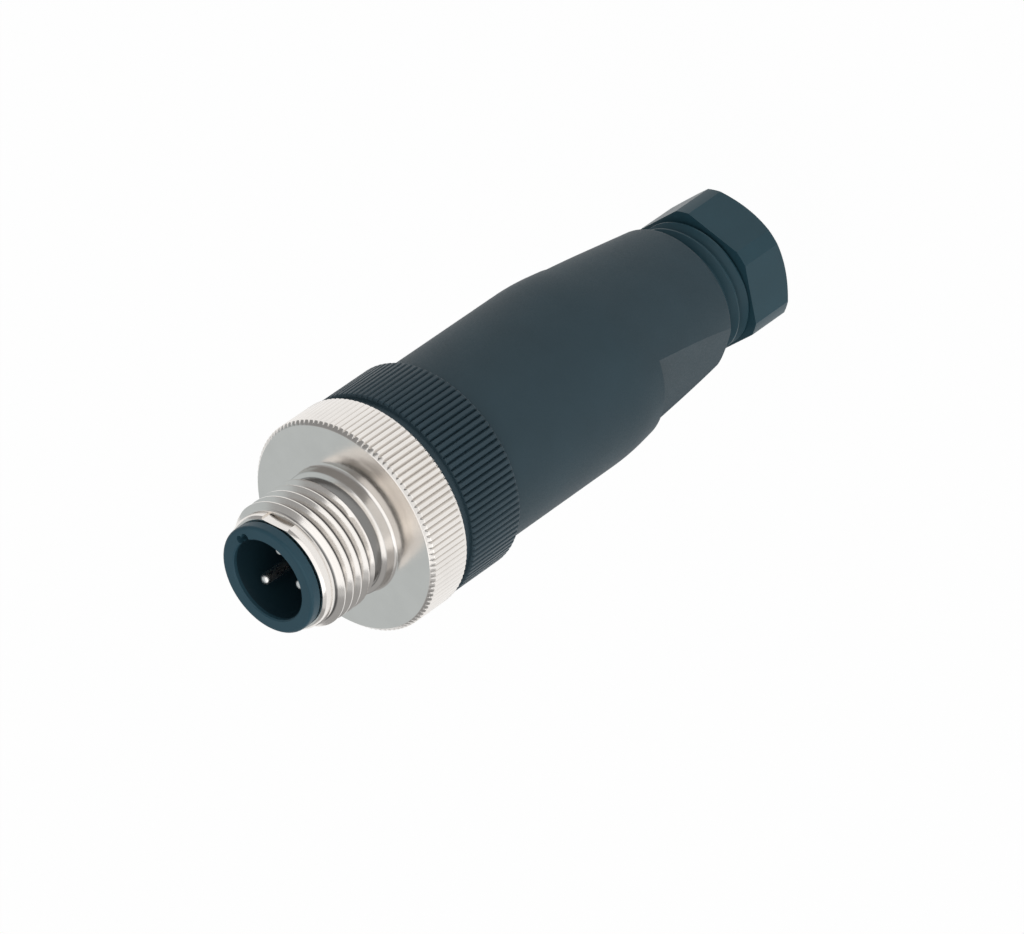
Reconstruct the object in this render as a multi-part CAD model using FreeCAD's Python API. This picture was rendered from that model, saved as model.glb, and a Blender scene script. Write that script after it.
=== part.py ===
# Field-attachable circular cable plug with an M12 male thread.
#
# The plug stands on the cable end of its pressing screw, with its axis on +Z and its pins on top.
# Lengths along the axis are added up from the mating face downwards and are called stations:
# station 0 is the mating face, and station total_length is the rear face on the ground, z = 0.
# Angles are in degrees about +Z, from +X towards +Y. The two wrench flats of the shell face +X and -X.
# Sizes are in millimetres. Fine threads are plain cylinders at their crest.

import FreeCAD, Part

import math
import os

# Lengths along the axis, from the mating face to the cable end
lip_length = 1.05
ring_play = 0.10
lead_in_length = 1.00
mating_thread_length = 5.45
undercut_length = 0.60
shoulder_length = 1.30
flange_length = 4.50
ring_gap = 0.25
grip_lip_length = 0.65
grip_length = 6.00
shell_gap = 0.05
barrel_length = 17.35
taper_length = 14.10
exposed_thread_length = 3.30
head_length = 4.80

# Coupling ring
mating_thread_r = 5.93
thread_depth = 0.61
thread_chamfer = 0.45
ring_wall = 0.62
shoulder_step = 0.48
flange_step = 0.18
flange_rim_chamfer = 0.50
flange_back_chamfer = 0.25
web_thickness = 1.90
ring_tooth_count = 108
ring_tooth_depth = 0.22
crest_share = 0.56
notch_width = 2.90
notch_depth = 0.35
notch_angle = 108.0

# Contact carrier
running_clearance = 0.08
seat_clearance = 0.02
lip_step = 0.36
shroud_wall = 0.88
lip_round = 0.28
mouth_chamfer = 0.12
socket_depth = 9.00
keyway_angle = 147.5
keyway_lobe_r = 0.38
keyway_lobe_spread = 5.0
keyway_depth = 0.28
bead_height = 0.28
bead_length = 0.80
index_angle = 307.0
index_width = 1.20
index_depth = 0.50

# Contacts and their screw terminals
pin_angles = (12.0, 104.0, 241.0)
pin_circle_r = 2.30
pin_r = 0.50
pin_recess = 1.30
shank_r = 0.70
shank_setback = 3.00
block_width = 2.30
block_cover = 0.47
block_top_wall = 0.70
block_length = 9.20
block_setback = 0.50
channel_side_gap = 0.05
channel_height = 1.50
channel_floor = 0.20
channel_depth = 5.00
screw_setback = 2.60
screw_end_distance = 2.50
screw_r = 0.70
screw_head_r = 1.00
screw_head_height = 0.70
screw_slot_width = 0.30
screw_slot_depth = 0.35
screw_lift = 1.05
screw_hole_clearance = 0.05
guard_thickness = 0.15
guard_side_gap = 0.05
guard_reach = 3.60
guard_tab = 0.60

# Grip body
grip_step = 0.85
grip_tooth_count = 100
grip_tooth_depth = 0.25
grip_edge_chamfer = 0.15
grip_lip_step = 0.50
hub_wall = 2.86
spigot_length = 5.70
spigot_room = 1.06
spigot_wall = 1.10
joint_clearance = 0.10
body_seal_r = 0.33
body_seal_setback = 1.75
shell_seal_r = 0.475
shell_seal_setback = 1.10
seal_relief = 0.05

# Shell
joint_wall = 1.25
taper_round = 25.0
rear_wall = 0.70
rear_round = 0.62
shell_mouth_chamfer = 0.15
seal_land_length = 2.25
seal_land_step = 0.25
thread_runout = 1.40
cavity_step = 0.60
cavity_length = 15.50
throat_r = 3.60
throat_length = 1.20
flat_setback = 3.00
flat_wall = 0.37
chamber_r = 5.20

# Cable seal, clamp cage and pressing screw
gland_step = 0.90
gland_clearance = 0.08
gland_engagement = 3.40
soft_gap = 0.10
seal_length = 3.20
seal_bore_r = 2.60
seal_groove_r = 0.28
seal_groove_count = 3
cage_ring_length = 1.40
cage_bore_step = 0.10
cage_finger_count = 8
cage_finger_gap = 0.70
cage_finger_length = 3.90
cage_cone_gap = 0.35
clamp_travel = 2.30
cone_length = 3.20
cone_lead = 0.55
gland_runout = 0.85
screw_wall = 1.10
cable_bore_r = 3.30
cable_bore_chamfer = 0.45
flat_margin = 0.20
corner_stand = 0.60
head_rear_chamfer = 0.40
head_angle = 30.0
screw_tip_chamfer = 0.40

# Small edges, and how far solids run into each other before they are fused or cut
edge_chamfer = 0.20
inner_chamfer = 0.05
lead_in_chamfer = 0.25
lead_in_share = 0.70
shoulder_round = 0.30
lip_back_round = 0.10
carrier_chamfer = 0.30
spigot_chamfer = 0.40
seal_edge = 0.30
pin_round_share = 0.80
notch_overlap = 0.15
weld = 0.10
cut_margin = 1.00

# Radii that follow from the sizes above, from the mating thread outwards
root_r = mating_thread_r - thread_depth
ring_bore_r = root_r - ring_wall
shoulder_r = root_r + shoulder_step
neck_r = ring_bore_r - running_clearance
lip_r = neck_r + lip_step
mouth_r = neck_r - shroud_wall
bead_r = neck_r + bead_height
body_bore_r = neck_r + seat_clearance
hub_r = body_bore_r + hub_wall
recess_r = hub_r + running_clearance
spigot_bore_r = body_bore_r + spigot_room
groove_r = spigot_bore_r + spigot_wall
land_r = groove_r + 2 * (shell_seal_r + seal_relief)
shell_thread_r = land_r - seal_land_step
spigot_r = shell_thread_r - joint_clearance
cavity_r = shell_thread_r - cavity_step
shell_r = shell_thread_r + joint_wall
grip_r = shell_r + grip_step
flange_r = grip_r + flange_step
block_outer_r = neck_r - block_cover
channel_outer_r = block_outer_r - block_top_wall
channel_inner_r = channel_outer_r - channel_height
channel_width = 2 * (screw_r + channel_side_gap)
block_inner_r = channel_inner_r - channel_floor
guard_outer_r = channel_outer_r - guard_side_gap
screw_tip_r = guard_outer_r + seat_clearance
gland_thread_r = chamber_r + gland_step
gland_bore_r = gland_thread_r + gland_clearance
wrench_flat_r = gland_bore_r + flat_wall
shell_end_r = gland_bore_r + rear_wall
screw_bore_r = gland_thread_r - screw_wall
cage_r = screw_bore_r - soft_gap
cage_bore_r = cable_bore_r + cage_bore_step
head_flat_r = gland_thread_r + flat_margin
corner_r = head_flat_r + corner_stand

# Stations
ring_front = lip_length + ring_play
thread_front = ring_front + lead_in_length
thread_back = thread_front + mating_thread_length
shoulder_front = thread_back + undercut_length
flange_front = shoulder_front + shoulder_length
flange_back = flange_front + flange_length
grip_front = flange_back + ring_gap
knurl_front = grip_front + grip_lip_length
grip_back = knurl_front + grip_length
shell_front = grip_back + shell_gap
taper_front = shell_front + barrel_length
shell_back = taper_front + taper_length
head_front = shell_back + exposed_thread_length
total_length = head_front + head_length
web_back = flange_front + web_thickness
body_seal_station = grip_front + body_seal_setback
index_length = (grip_back - body_seal_station) / 2
shell_seal_station = grip_back + shell_seal_setback
spigot_back = grip_back + spigot_length
screw_station = spigot_back + screw_setback
block_back = screw_station + screw_end_distance
block_front = block_back - block_length
carrier_back = block_back + block_setback
shank_front = socket_depth + shank_setback
cavity_back = shell_front + cavity_length
throat_front = cavity_back + cavity_r - throat_r
chamber_front = throat_front + throat_length
flat_front = taper_front + flat_setback
seal_front = chamber_front + soft_gap
seal_back = seal_front + seal_length
cage_front = seal_back + soft_gap + clamp_travel
cage_ring_back = cage_front + cage_ring_length
cage_tip = cage_ring_back + cage_finger_length
screw_tip = shell_back - gland_engagement
gland_front = screw_tip - clamp_travel - gland_runout
cone_front = cage_tip - cone_lead
cone_back = cone_front + cone_length

ORIGIN = FreeCAD.Vector(0, 0, 0)
UP = FreeCAD.Vector(0, 0, 1)


def corner_arc(before, corner, after, radius):
    """Two tangent points and the middle of the arc that rounds a corner of an outline."""
    towards = [(point - corner).normalize() for point in (before, after)]
    half = math.acos(max(-1.0, min(1.0, towards[0].dot(towards[1])))) / 2
    reach = radius / math.tan(half)
    first, last = (corner + side * reach for side in towards)
    bisector = (towards[0] + towards[1]).normalize()
    middle = corner + bisector * (radius / math.sin(half) - radius)
    return first, middle, last


def turned(corners):
    """Solid of revolution. A corner is (radius, station) or (radius, station, rounding radius)."""
    points = [FreeCAD.Vector(corner[0], 0, total_length - corner[1]) for corner in corners]
    rounds = [corner[2] if len(corner) > 2 else 0 for corner in corners]
    joints = []
    for index, point in enumerate(points):
        if rounds[index]:
            after = points[(index + 1) % len(points)]
            joints.append(corner_arc(points[index - 1], point, after, rounds[index]))
        else:
            joints.append((point,))
    edges = []
    for index, joint in enumerate(joints):
        if len(joint) == 3:
            edges.append(Part.Arc(*joint).toShape())
        start = joint[-1]
        end = joints[(index + 1) % len(joints)][0]
        if (end - start).Length > 1e-6:
            edges.append(Part.LineSegment(start, end).toShape())
    return Part.Face(Part.Wire(edges)).revolve(ORIGIN, UP, 360)


def rod(radius, front, back):
    """Round bar on the axis between two stations."""
    return Part.makeCylinder(radius, back - front, FreeCAD.Vector(0, 0, total_length - back))


def block(inner_r, outer_r, width, front, back, angle):
    """Box that lies along the axis, from one distance from the axis to another, turned to an angle."""
    corner = FreeCAD.Vector(inner_r, -width / 2, total_length - back)
    box = Part.makeBox(outer_r - inner_r, width, back - front, corner)
    return box.rotate(ORIGIN, UP, angle)


def torus(ring_r, section_r, station):
    """Round rubber ring on the axis."""
    return Part.makeTorus(ring_r, section_r, FreeCAD.Vector(0, 0, total_length - station))


def moved_out(shape, distance, angle):
    """Shape on the axis, moved away from it at an angle."""
    turn = math.radians(angle)
    return shape.translated(FreeCAD.Vector(distance * math.cos(turn), distance * math.sin(turn), 0))


def radial_rod(radius, inner_r, outer_r, station, angle):
    """Round bar that points away from the axis."""
    start = FreeCAD.Vector(inner_r, 0, total_length - station)
    bar = Part.makeCylinder(radius, outer_r - inner_r, start, FreeCAD.Vector(1, 0, 0))
    return bar.rotate(ORIGIN, UP, angle)


def toothed_blank(crest_r, depth, count, front, back):
    """Bar with straight flat-topped teeth and narrow V grooves between them."""
    pitch = 2 * math.pi / count
    half_crest = crest_share / 2
    height = total_length - back
    points = []
    for index in range(count):
        for radius, offset in ((crest_r, -half_crest), (crest_r, half_crest), (crest_r - depth, 0.5)):
            angle = (index + offset) * pitch
            points.append(FreeCAD.Vector(radius * math.cos(angle), radius * math.sin(angle), height))
    face = Part.Face(Part.makePolygon(points + points[:1]))
    return face.extrude(FreeCAD.Vector(0, 0, back - front))


def coupling_ring():
    """Plated ring: threaded sleeve, shoulder and knurled flange, with a recess behind."""
    lead_in = (mating_thread_r - root_r) * lead_in_share
    blank = turned([
        (ring_bore_r, ring_front),
        (root_r - edge_chamfer, ring_front),
        (root_r, ring_front + lead_in_chamfer),
        (root_r, thread_front),
        (mating_thread_r, thread_front + lead_in),
        (mating_thread_r, thread_back - thread_chamfer),
        (root_r, thread_back),
        (root_r, shoulder_front),
        (shoulder_r, shoulder_front + edge_chamfer),
        (shoulder_r, flange_front, shoulder_round),
        (flange_r - flange_rim_chamfer, flange_front),
        (flange_r, flange_front + flange_rim_chamfer),
        (flange_r, flange_back - flange_back_chamfer),
        (flange_r - flange_back_chamfer, flange_back),
        (recess_r + edge_chamfer, flange_back),
        (recess_r, flange_back - edge_chamfer),
        (recess_r, web_back),
        (ring_bore_r, web_back),
    ])
    teeth = toothed_blank(flange_r, ring_tooth_depth, ring_tooth_count, flange_front, flange_back)
    sleeve = rod(mating_thread_r + weld, ring_front, flange_front)
    notch_back = thread_front + notch_overlap
    notch = block(root_r - notch_depth, flange_r, notch_width, 0, notch_back, notch_angle)
    return blank.common(teeth.fuse(sleeve)).cut(notch)


def keyway():
    """Coding groove of the socket: two round lobes side by side along its wall."""
    lobes = []
    for side in (-1, 1):
        bar = rod(keyway_lobe_r, -cut_margin, socket_depth)
        reach = mouth_r + keyway_depth
        lobes.append(moved_out(bar, reach, keyway_angle + side * keyway_lobe_spread))
    return lobes[0].fuse(lobes[1])


def contact_carrier():
    """Black insert: shroud with a front lip, solid middle, and pockets for the terminals."""
    bead_front = grip_back + seat_clearance + inner_chamfer
    body = turned([
        (0, socket_depth),
        (mouth_r, socket_depth),
        (mouth_r, mouth_chamfer),
        (mouth_r + mouth_chamfer, 0),
        (lip_r, 0, lip_round),
        (lip_r, lip_length, lip_back_round),
        (neck_r, lip_length),
        (neck_r, bead_front),
        (bead_r, bead_front),
        (bead_r, bead_front + bead_length / 2),
        (neck_r, bead_front + bead_length),
        (neck_r, carrier_back - carrier_chamfer),
        (neck_r - carrier_chamfer, carrier_back),
        (0, carrier_back),
    ])
    index_front = grip_back - index_length - seat_clearance
    index_in = neck_r - index_depth
    index_out = neck_r + cut_margin
    index_end = carrier_back + cut_margin
    index_slot = block(index_in, index_out, index_width, index_front, index_end, index_angle)
    body = body.cut(keyway()).cut(index_slot)
    for angle in pin_angles:
        body = body.cut(terminal_room(angle))
    return body


def terminal_room(angle):
    """What one contact and its screw take out of the carrier."""
    pin_hole = rod(pin_r + seat_clearance, socket_depth - cut_margin, shank_front + cut_margin)
    shank_hole = rod(shank_r + seat_clearance, shank_front, block_front + cut_margin)
    holes = moved_out(pin_hole.fuse(shank_hole), pin_circle_r, angle)
    pocket_in = block_inner_r - seat_clearance
    pocket_out = block_outer_r + seat_clearance
    pocket_width = block_width + 2 * seat_clearance
    pocket_end = carrier_back + cut_margin
    pocket = block(pocket_in, pocket_out, pocket_width, block_front, pocket_end, angle)
    screw_hole_r = screw_head_r + screw_hole_clearance
    screw_hole = radial_rod(screw_hole_r, block_outer_r, neck_r + cut_margin, screw_station, angle)
    return holes.fuse(pocket).fuse(screw_hole)


def contact(angle):
    """Turned pin with a rounded tip, a thicker shank and a wire block with an open channel."""
    step = shank_front + seat_clearance
    shank_end = block_front + cut_margin
    pin = turned([
        (0, pin_recess),
        (pin_r, pin_recess, pin_r * pin_round_share),
        (pin_r, step),
        (shank_r, step),
        (shank_r, shank_end),
        (0, shank_end),
    ])
    pin = moved_out(pin, pin_circle_r, angle)
    body_front = block_front + seat_clearance
    body = block(block_inner_r, block_outer_r, block_width, body_front, block_back, angle)
    front = block_back - channel_depth
    back = block_back + cut_margin
    channel = block(channel_inner_r, channel_outer_r, channel_width, front, back, angle)
    hole_r = screw_r + seat_clearance
    hole_in = channel_outer_r - weld
    screw_hole = radial_rod(hole_r, hole_in, block_outer_r + cut_margin, screw_station, angle)
    return pin.fuse(body).cut(channel).cut(screw_hole)


def wire_guard(angle):
    """Thin leaf under the screw tip, with a tab bent over the end of the block."""
    width = channel_width - 2 * guard_side_gap
    inner = guard_outer_r - guard_thickness
    tab_back = block_back + 2 * seat_clearance + guard_thickness
    leaf = block(inner, guard_outer_r, width, block_back - guard_reach, tab_back, angle)
    tab = block(inner, guard_outer_r + guard_tab, width, tab_back - guard_thickness, tab_back, angle)
    return leaf.fuse(tab).removeSplitter()


def terminal_screw(angle):
    """Slotted screw, turned out to leave the wire channel open."""
    head_r = block_outer_r + screw_lift
    top_r = head_r + screw_head_height
    shaft = radial_rod(screw_r, screw_tip_r, head_r + weld, screw_station, angle)
    head = radial_rod(screw_head_r, head_r, top_r, screw_station, angle)
    slot_front = screw_station - screw_head_r - cut_margin
    slot_back = screw_station + screw_head_r + cut_margin
    slot_in = top_r - screw_slot_depth
    slot = block(slot_in, top_r + cut_margin, screw_slot_width, slot_front, slot_back, angle)
    return shaft.fuse(head).cut(slot)


def grip_body():
    """Knurled plastic body: hub for the coupling ring, grip, and a spigot that takes the shell."""
    hub_front = web_back + ring_play
    groove_half = shell_seal_r + seal_relief
    inner_half = body_seal_r + seal_relief
    inner_groove_r = body_bore_r + 2 * inner_half
    blank = turned([
        (body_bore_r, hub_front),
        (hub_r - edge_chamfer, hub_front),
        (hub_r, hub_front + edge_chamfer),
        (hub_r, grip_front),
        (grip_r - grip_lip_step, grip_front),
        (grip_r - grip_lip_step, knurl_front),
        (grip_r - grip_edge_chamfer, knurl_front),
        (grip_r, knurl_front + grip_edge_chamfer),
        (grip_r, grip_back - grip_edge_chamfer),
        (grip_r - grip_edge_chamfer, grip_back),
        (spigot_r, grip_back),
        (spigot_r, shell_seal_station - groove_half),
        (groove_r, shell_seal_station - groove_half),
        (groove_r, shell_seal_station + groove_half),
        (spigot_r, shell_seal_station + groove_half),
        (spigot_r, spigot_back - spigot_chamfer),
        (spigot_r - spigot_chamfer, spigot_back),
        (spigot_bore_r, spigot_back),
        (spigot_bore_r, grip_back),
        (body_bore_r, grip_back),
        (body_bore_r, body_seal_station + inner_half),
        (inner_groove_r, body_seal_station + inner_half),
        (inner_groove_r, body_seal_station - inner_half),
        (body_bore_r, body_seal_station - inner_half),
    ])
    teeth = toothed_blank(grip_r, grip_tooth_depth, grip_tooth_count, knurl_front, grip_back)
    front = rod(grip_r, hub_front, knurl_front)
    spigot = rod(spigot_r + weld, grip_back, spigot_back)
    body = blank.common(teeth.fuse(front).fuse(spigot))
    rib_in = neck_r - index_depth + seat_clearance
    rib_width = index_width - 2 * seat_clearance
    rib_out = body_bore_r + weld
    rib = block(rib_in, rib_out, rib_width, grip_back - index_length, grip_back, index_angle)
    return body.fuse(rib)


def back_shell():
    """Long moulded shell: threaded mouth, wiring room, seal chamber and gland thread."""
    land_back = shell_front + seal_land_length
    thread_end = spigot_back + thread_runout
    body = turned([
        (land_r + shell_mouth_chamfer, shell_front),
        (shell_r, shell_front),
        (shell_r, taper_front, taper_round),
        (shell_end_r, shell_back, rear_round),
        (gland_bore_r + inner_chamfer, shell_back),
        (gland_bore_r, shell_back - inner_chamfer),
        (gland_bore_r, gland_front),
        (chamber_r, gland_front - (gland_bore_r - chamber_r)),
        (chamber_r, chamber_front),
        (throat_r, chamber_front),
        (throat_r, throat_front),
        (cavity_r, cavity_back),
        (cavity_r, thread_end),
        (shell_thread_r, thread_end - (shell_thread_r - cavity_r)),
        (shell_thread_r, land_back),
        (land_r, land_back - seal_land_step),
        (land_r, shell_front + shell_mouth_chamfer),
    ])
    for angle in (0, 180):
        flat_out = shell_r + cut_margin
        body = body.cut(block(wrench_flat_r, flat_out, 4 * shell_r, flat_front, total_length, angle))
    return body


def cable_seal():
    """Rubber sleeve that closes on the cable, with ribs on its outside."""
    outer = chamber_r - soft_gap
    body = turned([
        (seal_bore_r + seal_edge, seal_front),
        (outer, seal_front, seal_edge),
        (outer, seal_back, seal_edge),
        (seal_bore_r + seal_edge, seal_back),
        (seal_bore_r, seal_back - seal_edge),
        (seal_bore_r, seal_front + seal_edge),
    ])
    pitch = seal_length / (seal_groove_count + 1)
    groove_centre_r = outer + seal_groove_r / 3
    for index in range(seal_groove_count):
        station = seal_front + (index + 1) * pitch
        body = body.cut(torus(groove_centre_r, seal_groove_r, station))
    return body


def clamp_cage():
    """Plastic ring with fingers that the cone of the pressing screw bends onto the cable."""
    cone_slope = (screw_bore_r - cable_bore_r) / cone_length
    finger_r = screw_bore_r - cage_cone_gap
    body = turned([
        (cage_bore_r, cage_front),
        (cage_r, cage_front),
        (cage_r, cage_ring_back),
        (finger_r, cage_ring_back),
        (finger_r, cone_front),
        (finger_r - cone_slope * (cage_tip - cone_front), cage_tip),
        (cage_bore_r, cage_tip),
    ])
    for index in range(cage_finger_count):
        angle = index * 360 / cage_finger_count
        slit_in = cage_bore_r - cut_margin
        slit_out = cage_r + cut_margin
        slit_end = cage_tip + cut_margin
        body = body.cut(block(slit_in, slit_out, cage_finger_gap, cage_ring_back, slit_end, angle))
    return body


def pressing_screw():
    """Gland screw: hollow threaded shank with an inner cone, and a hexagonal head with turned corners."""
    blank = turned([
        (screw_bore_r, screw_tip),
        (gland_thread_r - screw_tip_chamfer, screw_tip),
        (gland_thread_r, screw_tip + screw_tip_chamfer),
        (gland_thread_r, head_front),
        (corner_r, head_front),
        (corner_r, total_length - head_rear_chamfer),
        (head_flat_r, total_length),
        (cable_bore_r + cable_bore_chamfer, total_length),
        (cable_bore_r, total_length - cable_bore_chamfer),
        (cable_bore_r, cone_back),
        (screw_bore_r, cone_front),
    ])
    corners = []
    for index in range(7):
        turn = math.radians(head_angle + 30 + 60 * index)
        reach = head_flat_r / math.cos(math.pi / 6)
        corners.append(FreeCAD.Vector(reach * math.cos(turn), reach * math.sin(turn), 0))
    hexagon = Part.Face(Part.makePolygon(corners)).extrude(FreeCAD.Vector(0, 0, head_length))
    return blank.common(hexagon.fuse(rod(gland_thread_r + weld, screw_tip, head_front)))


def save(name, shape):
    """Write one node, which has to be a sound closed solid."""
    solids = shape.Solids
    if len(solids) != 1 or not solids[0].isValid():
        raise RuntimeError(f"{name}: {len(solids)} solids, valid {shape.isValid()}")
    solids[0].exportStep(f"parts/{name}.step")
    print(f"{name}: {solids[0].Volume:.2f} mm3")


def main():
    os.makedirs("parts", exist_ok=True)
    save("coupling_ring", coupling_ring())
    save("contact_carrier", contact_carrier())
    for number, angle in enumerate(pin_angles, start=1):
        save(f"contact_{number}", contact(angle))
        save(f"wire_guard_{number}", wire_guard(angle))
        save(f"terminal_screw_{number}", terminal_screw(angle))
    save("grip_body", grip_body())
    save("body_seal", torus(body_bore_r + body_seal_r + seal_relief, body_seal_r, body_seal_station))
    save("shell_seal", torus(land_r - shell_seal_r - seal_relief, shell_seal_r, shell_seal_station))
    save("back_shell", back_shell())
    save("cable_seal", cable_seal())
    save("clamp_cage", clamp_cage())
    save("pressing_screw", pressing_screw())


main()
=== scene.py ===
import math

import bmesh
import bpy
from bpy.props import FloatProperty, FloatVectorProperty, IntProperty, PointerProperty
from mathutils import Matrix, Vector


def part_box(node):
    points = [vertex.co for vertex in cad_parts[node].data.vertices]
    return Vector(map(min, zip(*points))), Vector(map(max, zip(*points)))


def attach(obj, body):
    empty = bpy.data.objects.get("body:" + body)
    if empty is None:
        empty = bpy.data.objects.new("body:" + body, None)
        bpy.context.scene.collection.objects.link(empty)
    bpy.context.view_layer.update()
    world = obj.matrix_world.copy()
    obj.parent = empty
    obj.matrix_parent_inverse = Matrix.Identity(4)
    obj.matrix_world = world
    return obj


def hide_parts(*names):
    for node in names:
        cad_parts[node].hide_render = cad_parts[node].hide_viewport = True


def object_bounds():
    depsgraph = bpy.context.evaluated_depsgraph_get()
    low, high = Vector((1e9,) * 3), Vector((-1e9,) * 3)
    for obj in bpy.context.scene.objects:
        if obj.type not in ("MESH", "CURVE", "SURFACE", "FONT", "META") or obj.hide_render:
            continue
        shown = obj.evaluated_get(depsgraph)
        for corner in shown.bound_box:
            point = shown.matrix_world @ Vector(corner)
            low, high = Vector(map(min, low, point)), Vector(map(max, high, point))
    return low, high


bl_info = {
    "name": "Field-wired circular plug",
    "version": (1, 0, 0),
    "blender": (4, 5, 0),
    "location": "3D View > Sidebar > Plug",
    "description": "Dresses the packed cable plug with its threads, knurls, mouldings and finishes",
    "category": "Object",
}

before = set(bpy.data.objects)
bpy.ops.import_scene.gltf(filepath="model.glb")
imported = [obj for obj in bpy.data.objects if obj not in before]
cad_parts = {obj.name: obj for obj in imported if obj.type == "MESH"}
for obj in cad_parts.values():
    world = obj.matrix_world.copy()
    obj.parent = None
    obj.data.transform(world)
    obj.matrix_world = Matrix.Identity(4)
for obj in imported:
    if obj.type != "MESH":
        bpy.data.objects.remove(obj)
CAD_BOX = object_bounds()

# Lengths along the axis are stations in millimetres from the mating face, which is the top of the frame.
MM = 0.001
TOP = CAD_BOX[1][2]
FULL_TURN = 2 * math.pi
ORIGIN = (0, 0, 0)
AXIS = (0, 0, 1)


def height(station):
    """Height in metres of a station."""
    return TOP - station * MM


def station_of(node, end):
    """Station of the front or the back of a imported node."""
    low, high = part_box(node)
    return (TOP - (high.z if end == "front" else low.z)) / MM


# Stations that follow from the frame
RING_FRONT = station_of("coupling_ring", "front")
RING_BACK = station_of("coupling_ring", "back")
SHELL_FRONT = station_of("back_shell", "front")
SHELL_BACK = station_of("back_shell", "back")
SCREW_TIP = station_of("pressing_screw", "front")
SCREW_BACK = station_of("pressing_screw", "back")
GRIP_HUB_FRONT = station_of("grip_body", "front")
GRIP_SPIGOT_BACK = station_of("grip_body", "back")


def size(name, description, default, low=0.0):
    """A length that a user can change, with its default in millimetres."""
    return FloatProperty(name=name, description=description, default=default * MM, min=low,
                         unit="LENGTH", subtype="DISTANCE", precision=5)


def colour(name, description, default):
    """A plain linear colour that a user can change."""
    return FloatVectorProperty(name=name, description=description, default=default, size=3,
                               min=0.0, max=1.0, subtype="COLOR")


def turn(name, description, default):
    """An angle that a user can change, with its default in degrees."""
    return FloatProperty(name=name, description=description, default=math.radians(default),
                         unit="ROTATION", subtype="ANGLE")


def amount(name, description, default):
    """A share from 0 to 1."""
    return FloatProperty(name=name, description=description, default=default, min=0.0, max=1.0,
                         subtype="FACTOR")


class RingSettings(bpy.types.PropertyGroup):
    """Sizes and finish of the coupling ring."""
    thread_r: size("Thread crest radius", "Radius over the crests of the coupling thread", 5.93)
    thread_depth: size("Thread depth", "Depth of the coupling thread", 0.61)
    thread_pitch: size("Thread pitch", "Distance from crest to crest", 1.0)
    thread_turn: turn("Thread turn", "Turn of the coupling thread about the axis", 114)
    bore_r: size("Bore radius", "Radius of the sleeve's bore", 4.70)
    flange_r: size("Flange radius", "Radius over the crests of the knurl", 9.878)
    recess_r: size("Recess radius", "Radius of the recess behind the flange", 7.58)
    tooth_depth: size("Tooth depth", "Depth of the knurl's grooves", 0.22)
    teeth: IntProperty(name="Teeth", description="Teeth around the knurl", default=108, min=12)
    edge: size("Edge rounding", "Rounding of the turned edges", 0.045)
    plate: colour("Plate", "Colour of the bright plate", (0.845, 0.81, 0.772))
    roughness: amount("Roughness", "Roughness of the bright plate", 0.17)


class InsertSettings(bpy.types.PropertyGroup):
    """Finish of the insert and its contacts."""
    plastic: colour("Insert", "Colour of the insert's plastic", (0.024, 0.067, 0.092))
    pin: colour("Pins", "Colour of the plated pins", (0.86, 0.85, 0.83))
    roughness: amount("Roughness", "Roughness of the insert's plastic", 0.42)


class GripSettings(bpy.types.PropertyGroup):
    """Sizes and finish of the knurled grip."""
    grip_r: size("Grip radius", "Radius over the crests of the knurl", 9.70)
    tooth_depth: size("Tooth depth", "Depth of the knurl's grooves", 0.25)
    teeth: IntProperty(name="Teeth", description="Teeth around the knurl", default=100, min=12)
    spigot_pitch: size("Joint pitch", "Pitch of the thread that takes the shell", 1.0)
    edge: size("Edge rounding", "Rounding of the moulded edges", 0.06)
    plastic: colour("Grip", "Colour of the grip's plastic", (0.030, 0.056, 0.072))
    roughness: amount("Roughness", "Roughness of the grip's plastic", 0.40)


class ShellSettings(bpy.types.PropertyGroup):
    """Sizes and finish of the tapered shell."""
    shell_r: size("Shell radius", "Radius of the straight part", 8.85)
    end_r: size("End radius", "Radius of the shell's rear end", 6.88)
    taper_station: size("Taper start", "Distance from the mating face to the taper", 38.30)
    flat_station: size("Flat start", "Distance from the mating face to the wrench flats", 41.30)
    flat_r: size("Flat distance", "Distance from the axis to a wrench flat", 6.55)
    edge: size("Edge rounding", "Rounding of the moulded edges", 0.16)
    plastic: colour("Shell", "Colour of the shell's plastic", (0.030, 0.056, 0.071))
    roughness: amount("Roughness", "Roughness of the shell's plastic", 0.55)


class GlandSettings(bpy.types.PropertyGroup):
    """Sizes and finish of the pressing screw."""
    thread_r: size("Thread crest radius", "Radius over the crests of the gland thread", 6.10)
    thread_depth: size("Thread depth", "Depth of the gland thread", 0.61)
    thread_pitch: size("Thread pitch", "Distance from crest to crest", 1.27)
    thread_turn: turn("Thread turn", "Turn of the gland thread about the axis", 127)
    bore_r: size("Bore radius", "Radius of the cable's way through the head", 3.30)
    head_length: size("Head length", "Length of the hexagonal head", 4.80)
    flat_r: size("Flat distance", "Distance from the axis to a flat of the head", 6.30)
    corner_r: size("Corner radius", "Radius to which the head's corners are turned", 6.90)
    head_turn: turn("Head turn", "Direction that one flat of the head faces", 30)
    edge: size("Edge rounding", "Rounding of the moulded edges", 0.07)
    plastic: colour("Gland", "Colour of the pressing screw's plastic", (0.021, 0.060, 0.080))
    roughness: amount("Roughness", "Roughness of the pressing screw's plastic", 0.36)


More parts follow.
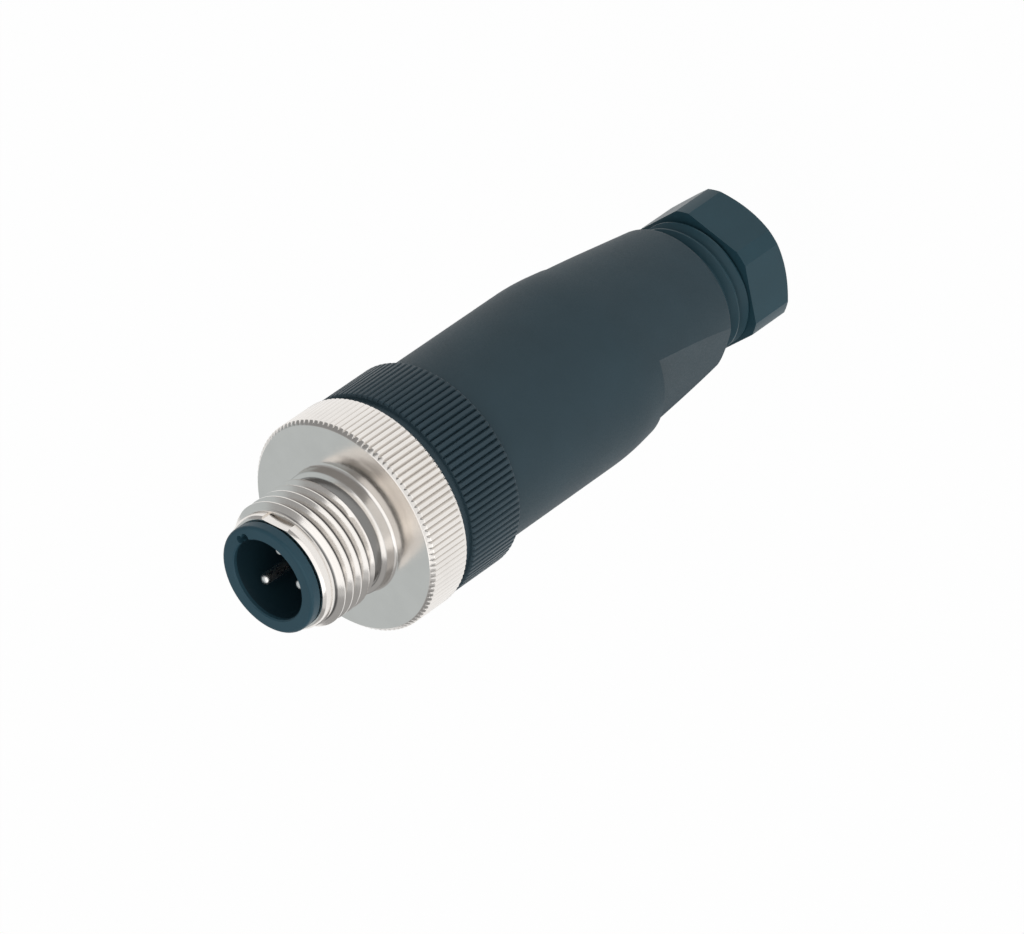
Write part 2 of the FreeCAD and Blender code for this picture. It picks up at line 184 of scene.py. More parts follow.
class StageSettings(bpy.types.PropertyGroup):
    """The camera, the lamps and the floor."""
    look_at: FloatVectorProperty(name="Look at", description="Point in the middle of the picture",
                                 default=(3.586 * MM, -1.638 * MM, height(27.665)), size=3,
                                 unit="LENGTH", subtype="XYZ")
    direction: turn("Direction", "Direction from the object to the camera", 65.445)
    elevation: turn("Elevation", "Height of the camera as an angle", 37.708)
    roll: turn("Roll", "Turn of the camera about its line of sight", -125.09)
    distance: size("Distance", "Distance from the camera to the look-at point", 675.6)
    focal_mm: FloatProperty(name="Focal length", description="Focal length in millimetres",
                            default=281.25, min=1.0)
    floor_drop: size("Floor drop", "Room below the part for the shell and the screw to move out", 10.0)
    world_level: amount("World level", "Level of the plain light from all around", 0.36)
    floor_white: amount("Floor white", "How far the floor shows as plain white to the camera", 0.975)


# Modelling helpers

def turned(corners, columns):
    """Closed solid of revolution from (radius, station) corners in millimetres."""
    bm = bmesh.new()
    verts = [bm.verts.new((radius * MM, 0, height(station))) for radius, station in corners]
    edges = [bm.edges.new((verts[index - 1], verts[index])) for index in range(len(verts))]
    bmesh.ops.spin(bm, geom=verts + edges, cent=ORIGIN, axis=AXIS, angle=FULL_TURN,
                   steps=columns, use_merge=True)
    bmesh.ops.remove_doubles(bm, verts=bm.verts, dist=1e-7)
    bmesh.ops.recalc_face_normals(bm, faces=bm.faces)
    return bm


def rounded(before, corner, after, radius, steps):
    """Points of the arc that rounds one corner of an outline."""
    corner = Vector(corner)
    sides = [(Vector(point) - corner).normalized() for point in (before, after)]
    half = sides[0].angle(sides[1]) / 2
    first, last = (corner + side * radius / math.tan(half) for side in sides)
    centre = corner + (sides[0] + sides[1]).normalized() * radius / math.sin(half)
    points = []
    for step in range(steps + 1):
        chord = first.lerp(last, step / steps)
        points.append(tuple(centre + (chord - centre).normalized() * radius))
    return points


def soften_rings(bm, width, segments=2, smallest=math.radians(20)):
    """Bevels the sharp edges that run around the axis."""
    rings = []
    for edge in bm.edges:
        level = abs(edge.verts[0].co.z - edge.verts[1].co.z) < 1e-7
        round_one = abs(edge.verts[0].co.xy.length - edge.verts[1].co.xy.length) < 1e-7
        if level and round_one and len(edge.link_faces) == 2 and edge.calc_face_angle(0) > smallest:
            rings.append(edge)
    bmesh.ops.bevel(bm, geom=rings, offset=width, offset_type="OFFSET", segments=segments,
                    profile=0.5, affect="EDGES", material=-1, clamp_overlap=True)


# One tooth: share of the pitch, and share of the groove's depth
TOOTH = ((-0.50, 1.0), (-0.30, 0.16), (-0.245, 0.0), (0.0, 0.0), (0.245, 0.0), (0.30, 0.16))


def knurl(bm, crest_r, depth, teeth, front, back):
    """Presses straight teeth into a turned blank that has one column for each step of a tooth."""
    pitch = FULL_TURN / teeth
    top, bottom = height(front) + 1e-6, height(back) - 1e-6
    for vert in bm.verts:
        column = round(math.atan2(vert.co.y, vert.co.x) / pitch * len(TOOTH))
        tooth, step = divmod(column, len(TOOTH))
        share, groove = TOOTH[step]
        turn = (tooth + 0.5 + share) * pitch
        radius = vert.co.xy.length
        if bottom <= vert.co.z <= top:
            radius = min(radius, crest_r - depth * groove)
        vert.co.x = radius * math.cos(turn)
        vert.co.y = radius * math.sin(turn)


# Half of a thread's section: share of the pitch from the middle of a root, and share of the depth
THREAD = ((0.0, 1.0), (0.05, 1.0), (0.09, 0.92), (0.41, 0.08), (0.45, 0.0))


def thread(crest_r, depth, pitch, front, back, reach, phase=0.0, columns=120):
    """Closed threaded band. reach(station) limits its radius, which gives the chamfered ends."""
    bm = bmesh.new()
    turns = math.ceil((back - front) * MM / pitch) + 2
    start = height(back) - pitch
    section = THREAD + tuple((1 - share, down) for share, down in reversed(THREAD))
    verts = [bm.verts.new((crest_r - depth * down, 0, start + share * pitch)) for share, down in section]
    edges = [bm.edges.new(pair) for pair in zip(verts, verts[1:])]
    bmesh.ops.spin(bm, geom=verts + edges, cent=ORIGIN, axis=AXIS, dvec=(0, 0, pitch / columns),
                   angle=FULL_TURN * turns, steps=columns * turns)
    bmesh.ops.remove_doubles(bm, verts=bm.verts, dist=pitch * 1e-3)
    bmesh.ops.rotate(bm, verts=bm.verts, cent=ORIGIN, matrix=Matrix.Rotation(phase, 3, "Z"))
    for station, direction in ((front, 1), (back, -1)):
        geom = bm.verts[:] + bm.edges[:] + bm.faces[:]
        bmesh.ops.bisect_plane(bm, geom=geom, dist=1e-7, plane_co=(0, 0, height(station)),
                               plane_no=(0, 0, direction), clear_outer=True)
    for vert in bm.verts:
        radius = vert.co.xy.length
        wanted = min(radius, reach((TOP - vert.co.z) / MM) * MM)
        vert.co.x *= wanted / radius
        vert.co.y *= wanted / radius
    inner = (crest_r - depth) - 0.15 * MM
    rims = [edge for edge in bm.edges if edge.is_boundary]
    grown = bmesh.ops.extrude_edge_only(bm, edges=rims)["geom"]
    for vert in (item for item in grown if isinstance(item, bmesh.types.BMVert)):
        factor = inner / vert.co.xy.length
        vert.co.x *= factor
        vert.co.y *= factor
    bmesh.ops.bridge_loops(bm, edges=[edge for edge in bm.edges if edge.is_boundary])
    bmesh.ops.recalc_face_normals(bm, faces=bm.faces)
    return bm


def finished(name, bm, material, sharp_angle=30):
    """Makes a named piece of a bmesh, shaded smooth up to an angle."""
    mesh = bpy.data.meshes.new(name)
    bm.to_mesh(mesh)
    bm.free()
    mesh.shade_smooth()
    mesh.set_sharp_from_angle(angle=math.radians(sharp_angle))
    mesh.materials.append(material)
    piece = bpy.data.objects.new(name, mesh)
    bpy.context.scene.collection.objects.link(piece)
    return piece


def combined(piece, cutter, operation):
    """Cuts a piece with another solid, which is used up."""
    modifier = piece.modifiers.new("cut", "BOOLEAN")
    modifier.operation = operation
    modifier.solver = "EXACT"
    modifier.object = cutter
    keep_result(piece)
    mesh = cutter.data
    bpy.data.objects.remove(cutter)
    bpy.data.meshes.remove(mesh)


def keep_result(piece):
    """Applies a piece's modifiers to its mesh."""
    depsgraph = bpy.context.evaluated_depsgraph_get()
    mesh = bpy.data.meshes.new_from_object(piece.evaluated_get(depsgraph))
    mesh.name = piece.name
    old = piece.data
    piece.modifiers.clear()
    piece.data = mesh
    bpy.data.meshes.remove(old)


def soften(piece, width, segments=2, angle=28):
    """Rounds every edge that is sharper than an angle."""
    modifier = piece.modifiers.new("edges", "BEVEL")
    modifier.width = width
    modifier.segments = segments
    modifier.limit_method = "ANGLE"
    modifier.angle_limit = math.radians(angle)
    modifier.harden_normals = True
    keep_result(piece)


def cutter_of(bm):
    """Makes a solid to cut with of a bmesh."""
    mesh = bpy.data.meshes.new("cutter")
    bm.to_mesh(mesh)
    bm.free()
    cutter = bpy.data.objects.new("cutter", mesh)
    bpy.context.scene.collection.objects.link(cutter)
    return cutter


def box_cutter(low, high, turn=0.0):
    """Box between two corners in metres, turned about the axis."""
    bm = bmesh.new()
    bmesh.ops.create_cube(bm, size=1.0)
    low, high = Vector(low), Vector(high)
    scale = Matrix.Diagonal((high - low).to_4d())
    scale[3][3] = 1.0
    spot = Matrix.Rotation(turn, 4, "Z") @ Matrix.Translation((low + high) / 2) @ scale
    bmesh.ops.transform(bm, matrix=spot, verts=bm.verts)
    return cutter_of(bm)


def hexagon_cutter(flat_r, low, high, turn):
    """Hexagonal prism along the axis, with one flat that faces a direction."""
    bm = bmesh.new()
    bmesh.ops.create_circle(bm, cap_ends=True, segments=6, radius=flat_r / math.cos(math.pi / 6))
    grown = bmesh.ops.extrude_face_region(bm, geom=bm.faces[:])["geom"]
    bmesh.ops.translate(bm, verts=[item for item in grown if isinstance(item, bmesh.types.BMVert)],
                        vec=(0, 0, high - low))
    bmesh.ops.recalc_face_normals(bm, faces=bm.faces)
    first = math.atan2(bm.verts[:][0].co.y, bm.verts[:][0].co.x)
    spot = Matrix.Translation((0, 0, low)) @ Matrix.Rotation(turn + math.pi / 6 - first, 4, "Z")
    bmesh.ops.transform(bm, matrix=spot, verts=bm.verts)
    return cutter_of(bm)


# Materials

def shader_of(name):
    """New material and its main shader."""
    material = bpy.data.materials.new(name)
    material.use_nodes = True
    return material, material.node_tree.nodes["Principled BSDF"]


def node(material, kind, inputs=None, **settings):
    """New node with its settings and plain inputs."""
    made = material.node_tree.nodes.new(kind)
    for key, value in settings.items():
        setattr(made, key, value)
    for key, value in (inputs or {}).items():
        made.inputs[key].default_value = value
    return made


def join(material, *pairs):
    """Links pairs of sockets."""
    for source, target in pairs:
        material.node_tree.links.new(source, target)


def noise(material, where, scale, detail=2.0, roughness=0.5):
    """Noise on a given coordinate."""
    made = node(material, "ShaderNodeTexNoise", {"Scale": scale, "Detail": detail, "Roughness": roughness})
    join(material, (where, made.inputs["Vector"]))
    return made.outputs["Fac"]


def spread(material, factor, low, high):
    """Maps a factor around a half to a range."""
    made = node(material, "ShaderNodeMapRange", {"From Min": 0.3, "From Max": 0.7, "To Min": low, "To Max": high})
    join(material, (factor, made.inputs["Value"]))
    return made.outputs["Result"]


def shaded(material, base, factor, darker, lighter):
    """Base colour that varies a little with a factor."""
    mix = node(material, "ShaderNodeMix", data_type="RGBA")
    mix.inputs[6].default_value = [*(channel * darker for channel in base), 1]
    mix.inputs[7].default_value = [*(min(1.0, channel * lighter) for channel in base), 1]
    join(material, (factor, mix.inputs["Factor"]))
    return mix.outputs[2]


def bumped(material, shader, heights):
    """Chains bumps of (factor, strength, depth in metres) into the shader's normal."""
    previous = None
    for factor, strength, depth in heights:
        bump = node(material, "ShaderNodeBump", {"Strength": strength, "Distance": depth})
        join(material, (factor, bump.inputs["Height"]))
        if previous:
            join(material, (previous, bump.inputs["Normal"]))
        previous = bump.outputs["Normal"]
    join(material, (previous, shader.inputs["Normal"]))


def radius_and_height(material):
    """Distance from the axis, and height along it."""
    spot = node(material, "ShaderNodeTexCoord").outputs["Object"]
    parts = node(material, "ShaderNodeSeparateXYZ")
    radius = node(material, "ShaderNodeVectorMath", operation="LENGTH")
    flat = node(material, "ShaderNodeVectorMath", {1: (1, 1, 0)}, operation="MULTIPLY")
    join(material, (spot, parts.inputs["Vector"]), (spot, flat.inputs[0]),
         (flat.outputs[0], radius.inputs[0]))
    return radius.outputs["Value"], parts.outputs["Z"]


def turning_coordinate(material, radius, level):
    """Coordinate on which a pattern runs around the turned surface."""
    both = node(material, "ShaderNodeCombineXYZ")
    join(material, (radius, both.inputs["X"]), (level, both.inputs["Z"]))
    return both.outputs["Vector"]


def ramp(material, value, first, last, low, high):
    """Straight ramp from low to high between two values, level outside them."""
    made = node(material, "ShaderNodeMapRange",
                {"From Min": first, "From Max": last, "To Min": low, "To Max": high})
    join(material, (value, made.inputs["Value"]))
    return made.outputs["Result"]


def product(material, factors):
    """Product of several factors."""
    result = factors[0]
    for factor in factors[1:]:
        made = node(material, "ShaderNodeMath", operation="MULTIPLY")
        join(material, (result, made.inputs[0]), (factor, made.inputs[1]))
        result = made.outputs[0]
    return result


def painted_groove_shade(material, base, radius, level, grooves, tone):
    """Colour that is darkened towards a tone in grooves and recesses, as painted shade. Each groove has the
    radius at which the tone is full, the radius at which it ends, its front and back station, and the share of
    the tone."""
    edge = 0.05 * MM
    for deep, clear, front, back, share in grooves:
        factor = product(material, [
            ramp(material, radius, deep * MM, clear * MM, share, 0.0),
            ramp(material, level, height(back), height(back) + edge, 0.0, 1.0),
            ramp(material, level, height(front) - edge, height(front), 1.0, 0.0),
        ])
        mix = node(material, "ShaderNodeMix", data_type="RGBA")
        mix.inputs[7].default_value = [*tone, 1]
        join(material, (factor, mix.inputs["Factor"]), (base, mix.inputs[6]))
        base = mix.outputs[2]
    return base


# Painted shade: the grey that the plate is darkened to in its grooves and recesses.
GROOVE_SHADE_GREY = (0.055, 0.06, 0.062)


def bright_plate(settings, grooves):
    """Bright plate with fine turning lines, faint clouds and painted shade in its grooves and recesses."""
    material, shader = shader_of("bright nickel plate")
    radius, level = radius_and_height(material)
    around = turning_coordinate(material, radius, level)
    spot = node(material, "ShaderNodeTexCoord").outputs["Object"]
    lines = noise(material, around, 14000, 3)
    clouds = noise(material, spot, 420, 3)
    scuffs = noise(material, spot, 2600, 4, 0.65)
    plate = shaded(material, settings.plate, clouds, 0.93, 1.05)
    # Painted shade: the plate is darkened in the grooves and recesses that are given.
    plate = painted_groove_shade(material, plate, radius, level, grooves, GROOVE_SHADE_GREY)
    join(material, (plate, shader.inputs["Base Color"]))
    shader.inputs["Metallic"].default_value = 1.0
    mixed = node(material, "ShaderNodeMath", operation="MULTIPLY_ADD")
    mixed.inputs[1].default_value = 0.5
    join(material, (lines, mixed.inputs[0]))
    half = node(material, "ShaderNodeMath", {1: 0.5}, operation="MULTIPLY")
    join(material, (scuffs, half.inputs[0]), (half.outputs[0], mixed.inputs[2]))
    rough = spread(material, mixed.outputs[0], settings.roughness * 0.75, settings.roughness * 1.35)
    join(material, (rough, shader.inputs["Roughness"]))
    bumped(material, shader, [(lines, 0.22, 6e-6), (scuffs, 0.05, 4e-6)])
    return material


def moulded(name, base, roughness, grain=9000, depth=7e-6, strength=0.35, grooves=()):
    """Moulded plastic with a fine spark grain, faint clouds and a slightly uneven gloss."""
    material, shader = shader_of(name)
    spot = node(material, "ShaderNodeTexCoord").outputs["Object"]
    fine = noise(material, spot, grain, 3, 0.6)
    clouds = noise(material, spot, 260, 3)
    tint = shaded(material, base, clouds, 0.88, 1.12)
    # Painted shade: the plastic is darkened to four tenths of its colour in the grooves that are given.
    if grooves:
        deep = [0.4 * channel for channel in base]
        tint = painted_groove_shade(material, tint, *radius_and_height(material), grooves, deep)
    join(material, (tint, shader.inputs["Base Color"]))
    join(material, (spread(material, fine, roughness * 0.85, min(1.0, roughness * 1.15)),
                    shader.inputs["Roughness"]))
    shader.inputs["IOR"].default_value = 1.48
    shader.inputs["Specular IOR Level"].default_value = 0.22
    bumped(material, shader, [(fine, strength, depth), (clouds, 0.10, 2e-5)])
    return material


def plain_metal(name, base, roughness):
    """Plated small metal part with a fine uneven gloss."""
    material, shader = shader_of(name)
    spot = node(material, "ShaderNodeTexCoord").outputs["Object"]
    fine = noise(material, spot, 3000, 3)
    join(material, (shaded(material, base, fine, 0.94, 1.04), shader.inputs["Base Color"]))
    join(material, (spread(material, fine, roughness * 0.8, roughness * 1.3), shader.inputs["Roughness"]))
    shader.inputs["Metallic"].default_value = 1.0
    bumped(material, shader, [(fine, 0.03, 2e-6)])
    return material


def dress(name, material):
    """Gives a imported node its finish."""
    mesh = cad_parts[name].data
    mesh.materials.clear()
    mesh.materials.append(material)


def place(piece, body, replaced=None):
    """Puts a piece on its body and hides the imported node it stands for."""
    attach(piece, body)
    if replaced:
        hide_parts(replaced)


class PLUG_OT_coupling_ring(bpy.types.Operator):
    """Turned and plated coupling ring with its thread and knurl"""
    bl_idname = "plug.coupling_ring"
    bl_label = "Coupling ring"

    def execute(self, context):
        ring = context.scene.plug_ring
        root = (ring.thread_r - ring.thread_depth) / MM
        under = root - 0.02
        flange, bore, recess = ring.flange_r / MM, ring.bore_r / MM, ring.recess_r / MM
        depth = ring.tooth_depth / MM
        thread_front, thread_back = RING_FRONT + 1.0, RING_FRONT + 6.10
        shoulder, flange_front = RING_FRONT + 7.05, RING_FRONT + 8.35
        neck, fillet = root + 0.48, 0.30
        rim, back_rim = 0.38, 0.25
        # Painted shade on the plate: darker thread roots, undercut, neck band, knurl grooves and front bevel.
        roots = (root + 0.05, root + 0.16, thread_front + 0.2, thread_back - 0.2, 0.85)
        undercut = (root + 0.02, root + 0.17, thread_back - 0.2, shoulder + 0.05, 0.78)
        neck_band = (neck + 0.02, neck + 0.06, shoulder + 0.15, flange_front, 0.28)
        knurl_grooves = (flange - depth + 0.02, flange - 0.03, flange_front + rim, RING_BACK - back_rim, 0.22)
        front_bevel = (flange, flange + 1, flange_front + 0.02, flange_front + rim - 0.02, 0.25)
        plate = bright_plate(ring, (roots, undercut, neck_band, knurl_grooves, front_bevel))
        blank = turned([
            (bore, RING_FRONT),
            (root - 0.20, RING_FRONT),
            (root, RING_FRONT + 0.25),
            (root, thread_front),
            (under, thread_front),
            (under, thread_back),
            (root, thread_back),
            (root, shoulder),
            (neck, shoulder + 0.20),
            *rounded((neck, shoulder), (neck, flange_front), (flange, flange_front), fillet, 4),
            (flange - rim, flange_front),
            (flange - depth, flange_front + rim - depth),
            (flange, flange_front + rim),
            (flange, RING_BACK - back_rim),
            (flange - depth, RING_BACK - back_rim + depth),
            (flange - back_rim, RING_BACK),
            (recess + 0.20, RING_BACK),
            (recess, RING_BACK - 0.20),
            (recess, flange_front + 1.90),
            (bore, flange_front + 1.90),
        ], ring.teeth * len(TOOTH))
        soften_rings(blank, ring.edge)
        knurl(blank, ring.flange_r, ring.tooth_depth, ring.teeth, flange_front, RING_BACK)
        piece = finished("coupling_ring_turning", blank, plate)
        notch_half, notch_floor, notch_turn = 1.45 * MM, (root - 0.35) * MM, math.radians(108)
        notch = box_cutter((notch_floor, -notch_half, height(thread_front + 0.15)),
                           (ring.flange_r, notch_half, height(0)), notch_turn)
        combined(piece, notch, "DIFFERENCE")
        place(piece, "coupling_ring", "coupling_ring")

        def reach(station):
            """Radius that the chamfered ends of the thread leave."""
            front_slope, back_slope = 1 / 0.70, 1.356
            return root + min((station - thread_front) * front_slope, (thread_back - station) * back_slope)

        band = thread(ring.thread_r, ring.thread_depth, ring.thread_pitch, thread_front, thread_back, reach,
                      ring.thread_turn)
        place(finished("coupling_thread", band, plate, 35), "coupling_ring")
        return {"FINISHED"}


class PLUG_OT_insert(bpy.types.Operator):
    """Black insert and its three plated contacts"""
    bl_idname = "plug.insert"
    bl_label = "Insert and contacts"

    def execute(self, context):
        insert = context.scene.plug_insert
        socket_r, socket_front, socket_floor = 3.76, 0.4, 10.2
        # Painted shade: the insert is darkened inside its socket.
        dress("contact_carrier", moulded("insert plastic", insert.plastic, insert.roughness, 12000, 5e-6,
                                         grooves=[(socket_r, socket_r + 0.06, socket_front, socket_floor, 1.0)]))
        pin = plain_metal("plated contact", insert.pin, 0.28)
        for number in (1, 2, 3):
            dress(f"contact_{number}", pin)
        return {"FINISHED"}


class PLUG_OT_grip(bpy.types.Operator):
    """Knurled grip body with its hub and the threaded spigot"""
    bl_idname = "plug.grip"
    bl_label = "Grip body"

    def execute(self, context):
        grip = context.scene.plug_grip
        crest, depth = grip.grip_r / MM, grip.tooth_depth / MM
        lip_front, knurl_front = RING_BACK + 0.25, RING_BACK + 0.90
        grip_back = SHELL_FRONT - 0.05
        # Painted shade: the grip is darkened in the knurl's grooves.
        plastic = moulded("grip plastic", grip.plastic, grip.roughness, 10000, 6e-6, 0.3,
                          [(crest - depth + 0.02, crest - 0.03, knurl_front, grip_back, 0.35)])
        hub, bore, spigot, spigot_bore, groove = 7.50, 4.64, 7.50, 5.70, 6.80
        seal_front, seal_back = grip_back + 0.575, grip_back + 1.625
        thread_front, thread_back = seal_back + 0.55, GRIP_SPIGOT_BACK - 0.2
        joint_depth = 0.45
        root = spigot - joint_depth
        blank = turned([
            (bore, GRIP_HUB_FRONT),
            (hub - 0.20, GRIP_HUB_FRONT),
            (hub, GRIP_HUB_FRONT + 0.20),
            (hub, lip_front),
            (crest - 0.50, lip_front),
            (crest - 0.50, knurl_front),
            (crest - depth, knurl_front),
            (crest - 0.15, knurl_front),
            (crest, knurl_front + 0.15),
            (crest, grip_back - 0.15),
            (crest - 0.15, grip_back),
            (crest - depth, grip_back),
            (spigot, grip_back),
            (spigot, seal_front),
            (groove, seal_front),
            (groove, seal_back),
            (spigot, seal_back),
            (spigot, thread_front),
            (root - 0.02, thread_front),
            (root - 0.02, thread_back),
            (root - 0.20, GRIP_SPIGOT_BACK),
            (spigot_bore, GRIP_SPIGOT_BACK),
            (spigot_bore, grip_back),
            (bore, grip_back),
        ], grip.teeth * len(TOOTH))
        soften_rings(blank, grip.edge)
        knurl(blank, grip.grip_r, grip.tooth_depth, grip.teeth, knurl_front - 0.01, grip_back + 0.01)
        place(finished("grip_body_moulding", blank, plastic), "front", "grip_body")

        def reach(station):
            """Radius that the ends of the joint thread leave."""
            return root + min(station - thread_front, thread_back - station) * 1.2

        band = thread(spigot * MM, joint_depth * MM, grip.spigot_pitch, thread_front, thread_back, reach)
        place(finished("joint_thread", band, plastic, 35), "front")
        return {"FINISHED"}


class PLUG_OT_shell(bpy.types.Operator):
    """Long tapered shell with two wrench flats"""
    bl_idname = "plug.shell"
    bl_label = "Back shell"

    def execute(self, context):
        shell = context.scene.plug_shell
        plastic = moulded("shell plastic", shell.plastic, shell.roughness, 8000, 8e-6, 0.4)
        outer, end = shell.shell_r / MM, shell.end_r / MM
        taper = shell.taper_station / MM
        mouth_r, joint_r, room_r, throat_r, cage_r, gland_r = 7.85, 7.60, 7.00, 3.60, 5.20, 6.18
        joint_back, seal_front, seal_back, cage_front, cage_back = 27.40, 39.85, 41.05, 44.87, 45.85
        start, rear = (outer, SHELL_FRONT), (end, SHELL_BACK)
        piece = finished("back_shell_moulding", turned([
            (mouth_r + 0.07, SHELL_FRONT),
            start,
            *rounded(start, (outer, taper), rear, 25.0, 12),
            *rounded((outer, taper), rear, (gland_r, SHELL_BACK), 0.62, 6),
            (gland_r + 0.05, SHELL_BACK),
            (gland_r, SHELL_BACK - 0.05),
            (gland_r, cage_back),
            (cage_r, cage_front),
            (cage_r, seal_back),
            (throat_r, seal_back),
            (throat_r, seal_front),
            (room_r, seal_front - (room_r - throat_r)),
            (room_r, joint_back + (joint_r - room_r)),
            (joint_r, joint_back),
            (joint_r, 23.20),
            (mouth_r, 23.20 - (mouth_r - joint_r)),
            (mouth_r, SHELL_FRONT + 0.15),
        ], 256), plastic)
        reach = 2 * shell.shell_r
        for turn in (0, math.pi):
            flat = box_cutter((shell.flat_r, -reach, height(SHELL_BACK + 1)),
                              (reach, reach, height(shell.flat_station / MM)), turn)
            combined(piece, flat, "DIFFERENCE")
        soften(piece, shell.edge, 3)
        place(piece, "back_shell", "back_shell")
        return {"FINISHED"}


class PLUG_OT_gland(bpy.types.Operator):
    """Pressing screw with its thread and hexagonal head"""
    bl_idname = "plug.gland"
    bl_label = "Gland screw"

    def execute(self, context):
        gland = context.scene.plug_gland
        plastic = moulded("gland plastic", gland.plastic, gland.roughness, 12000, 5e-6, 0.3)
        corner, flat, bore = gland.corner_r / MM, gland.flat_r / MM, gland.bore_r / MM
        crest, depth = gland.thread_r / MM, gland.thread_depth / MM
        head_front = SCREW_BACK - gland.head_length / MM
        rear_chamfer, mouth_chamfer, tip_bore, tip_cone = 0.40, 0.45, 5.00, 51.50
        head = finished("gland_head", turned([
            (bore, head_front),
            (corner, head_front),
            (corner, SCREW_BACK - rear_chamfer),
            (flat, SCREW_BACK),
            (bore + mouth_chamfer, SCREW_BACK),
            (bore, SCREW_BACK - mouth_chamfer),
        ], 240), plastic)
        prism = hexagon_cutter(gland.flat_r, height(SCREW_BACK + 1), height(head_front - 1), gland.head_turn)
        combined(head, prism, "INTERSECT")
        soften(head, gland.edge, 2)
        place(head, "pressing_screw", "pressing_screw")

        root = crest - depth
        thread_front = SCREW_TIP + 0.4
        shank = turned([
            (tip_bore, SCREW_TIP),
            (root - 0.05, SCREW_TIP),
            (root - 0.02, thread_front),
            (root - 0.02, head_front + 0.02),
            (bore, head_front + 0.02),
            (tip_bore, tip_cone),
        ], 180)
        place(finished("gland_shank", shank, plastic), "pressing_screw")

        def reach(station):
            """Radius that the thread's chamfered start leaves."""
            return root + (station - thread_front) * 1.1

        band = thread(gland.thread_r, gland.thread_depth, gland.thread_pitch, thread_front,
                      head_front + 0.01, reach, gland.thread_turn)
        place(finished("gland_thread", band, plastic, 35), "pressing_screw")
        return {"FINISHED"}


class PLUG_OT_inner_parts(bpy.types.Operator):
    """Seals, clamp cage, wire guards and terminal screws"""
    bl_idname = "plug.inner_parts"
    bl_label = "Inner parts"

    def execute(self, context):
        rubber = moulded("seal rubber", (0.022, 0.022, 0.023), 0.7, 6000, 8e-6)
        for name in ("body_seal", "shell_seal", "cable_seal"):
            dress(name, rubber)
        dress("clamp_cage", moulded("cage plastic", (0.60, 0.60, 0.58), 0.45, 9000, 5e-6))
        steel = plain_metal("guard steel", (0.62, 0.62, 0.61), 0.3)
        screw = plain_metal("screw steel", (0.66, 0.655, 0.64), 0.22)
        for number in (1, 2, 3):
            dress(f"wire_guard_{number}", steel)
            dress(f"terminal_screw_{number}", screw)
        return {"FINISHED"}


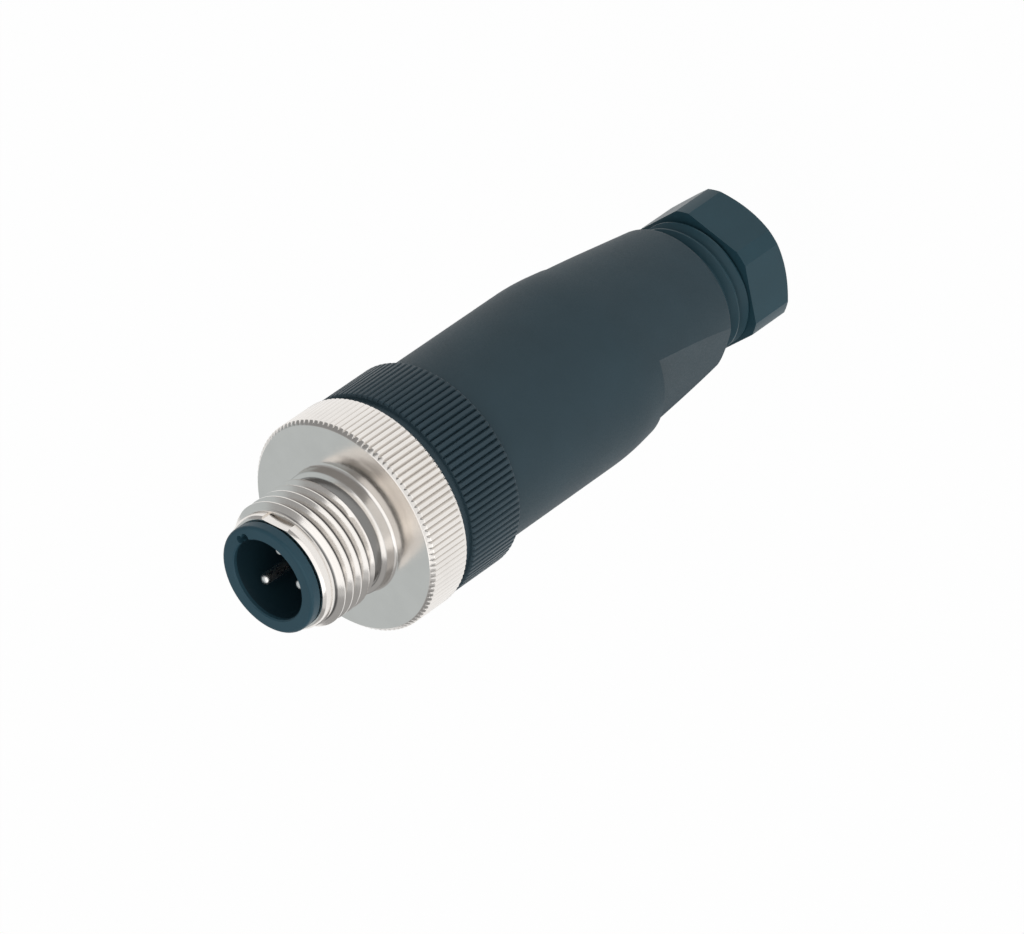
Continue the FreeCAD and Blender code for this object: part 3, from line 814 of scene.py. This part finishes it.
class PLUG_OT_stage(bpy.types.Operator):
    """Camera, soft lamps, world and white floor"""
    bl_idname = "plug.stage"
    bl_label = "Stage"

    def execute(self, context):
        stage = context.scene.plug_stage
        self.add_camera(context, stage)
        self.add_world(context, stage)
        self.add_floor(context, stage)
        plain, cool = (1.0, 1.0, 1.0), (0.80, 1.0, 1.06)
        for name, spot, width, power, tint in (
            ("key softbox", (0.44, 0.32, 0.66), 1.60, 6.6, plain),
            ("side softbox", (0.55, -0.15, 0.25), 0.60, 0.35, plain),
            ("back softbox", (-0.40, -0.44, 0.49), 1.10, 0.80, cool),
        ):
            self.add_lamp(context, name, Vector(spot), width, power, tint, Vector(stage.look_at))
        context.scene.view_settings.view_transform = "Standard"
        return {"FINISHED"}

    def add_camera(self, context, stage):
        """Camera that sees the plug at the photograph's angle."""
        data = bpy.data.cameras.new("camera")
        data.sensor_width = 36.0
        data.lens = stage.focal_mm
        data.clip_start = 0.01
        data.clip_end = 10.0
        camera = bpy.data.objects.new("camera", data)
        context.scene.collection.objects.link(camera)
        away = Vector((math.cos(stage.elevation) * math.cos(stage.direction),
                       math.cos(stage.elevation) * math.sin(stage.direction), math.sin(stage.elevation)))
        turn = away.to_track_quat("Z", "Y").to_matrix() @ Matrix.Rotation(stage.roll, 3, "Z")
        camera.matrix_world = Matrix.Translation(Vector(stage.look_at) + away * stage.distance) @ turn.to_4x4()
        context.scene.camera = camera

    def add_lamp(self, context, name, spot, width, power, tint, target):
        """Square soft lamp that faces the plug."""
        data = bpy.data.lights.new(name, "AREA")
        data.shape = "SQUARE"
        data.size = width
        data.energy = power
        data.color = tint
        lamp = bpy.data.objects.new(name, data)
        context.scene.collection.objects.link(lamp)
        turn = (spot - target).to_track_quat("Z", "Y")
        lamp.matrix_world = Matrix.Translation(spot) @ turn.to_matrix().to_4x4()

    def add_world(self, context, stage):
        """Plain light from all around."""
        world = bpy.data.worlds.new("studio")
        world.use_nodes = True
        background = world.node_tree.nodes["Background"]
        background.inputs["Color"].default_value = (1, 1, 1, 1)
        background.inputs["Strength"].default_value = stage.world_level
        context.scene.world = world

    def add_floor(self, context, stage):
        """White floor that keeps the plug's shadow."""
        bm = bmesh.new()
        bmesh.ops.create_grid(bm, x_segments=1, y_segments=1, size=3.0)
        bmesh.ops.translate(bm, verts=bm.verts, vec=(0, 0, -stage.floor_drop))
        material, shader = shader_of("white floor")
        shader.inputs["Base Color"].default_value = (0.9, 0.9, 0.9, 1)
        shader.inputs["Roughness"].default_value = 0.9
        path = node(material, "ShaderNodeLightPath")
        seen = node(material, "ShaderNodeMath", operation="MAXIMUM")
        shown = node(material, "ShaderNodeMath", operation="MAXIMUM")
        part = node(material, "ShaderNodeMath", {1: stage.floor_white}, operation="MULTIPLY")
        glow = node(material, "ShaderNodeEmission", {"Color": (1, 1, 1, 1), "Strength": 1.0})
        mix = node(material, "ShaderNodeMixShader")
        output = material.node_tree.nodes["Material Output"]
        join(material, (path.outputs["Is Camera Ray"], seen.inputs[0]),
             (path.outputs["Is Glossy Ray"], seen.inputs[1]),
             (seen.outputs[0], shown.inputs[0]), (path.outputs["Is Transmission Ray"], shown.inputs[1]),
             (shown.outputs[0], part.inputs[0]), (part.outputs[0], mix.inputs["Fac"]),
             (shader.outputs["BSDF"], mix.inputs[1]), (glow.outputs["Emission"], mix.inputs[2]),
             (mix.outputs["Shader"], output.inputs["Surface"]))
        finished("floor", bm, material)


class PLUG_PT_panel(bpy.types.Panel):
    """Lists the plug's pieces"""
    bl_idname = "PLUG_PT_panel"
    bl_label = "Plug"
    bl_space_type = "VIEW_3D"
    bl_region_type = "UI"
    bl_category = "Plug"

    def draw(self, context):
        for operator in OPERATORS:
            self.layout.operator(operator.bl_idname)


SETTINGS = {
    "plug_ring": RingSettings,
    "plug_insert": InsertSettings,
    "plug_grip": GripSettings,
    "plug_shell": ShellSettings,
    "plug_gland": GlandSettings,
    "plug_stage": StageSettings,
}
OPERATORS = (PLUG_OT_coupling_ring, PLUG_OT_insert, PLUG_OT_grip, PLUG_OT_shell, PLUG_OT_gland,
             PLUG_OT_inner_parts, PLUG_OT_stage)


def register():
    for group in (*SETTINGS.values(), *OPERATORS, PLUG_PT_panel):
        bpy.utils.register_class(group)
    for name, group in SETTINGS.items():
        setattr(bpy.types.Scene, name, PointerProperty(type=group))


def unregister():
    for name in SETTINGS:
        delattr(bpy.types.Scene, name)
    for group in reversed((*SETTINGS.values(), *OPERATORS, PLUG_PT_panel)):
        bpy.utils.unregister_class(group)


def main():
    """Makes every piece and the stage."""
    register()
    bpy.ops.plug.coupling_ring()
    bpy.ops.plug.insert()
    bpy.ops.plug.grip()
    bpy.ops.plug.shell()
    bpy.ops.plug.gland()
    bpy.ops.plug.inner_parts()
    bpy.ops.plug.stage()


if __name__ == "__main__":
    main()
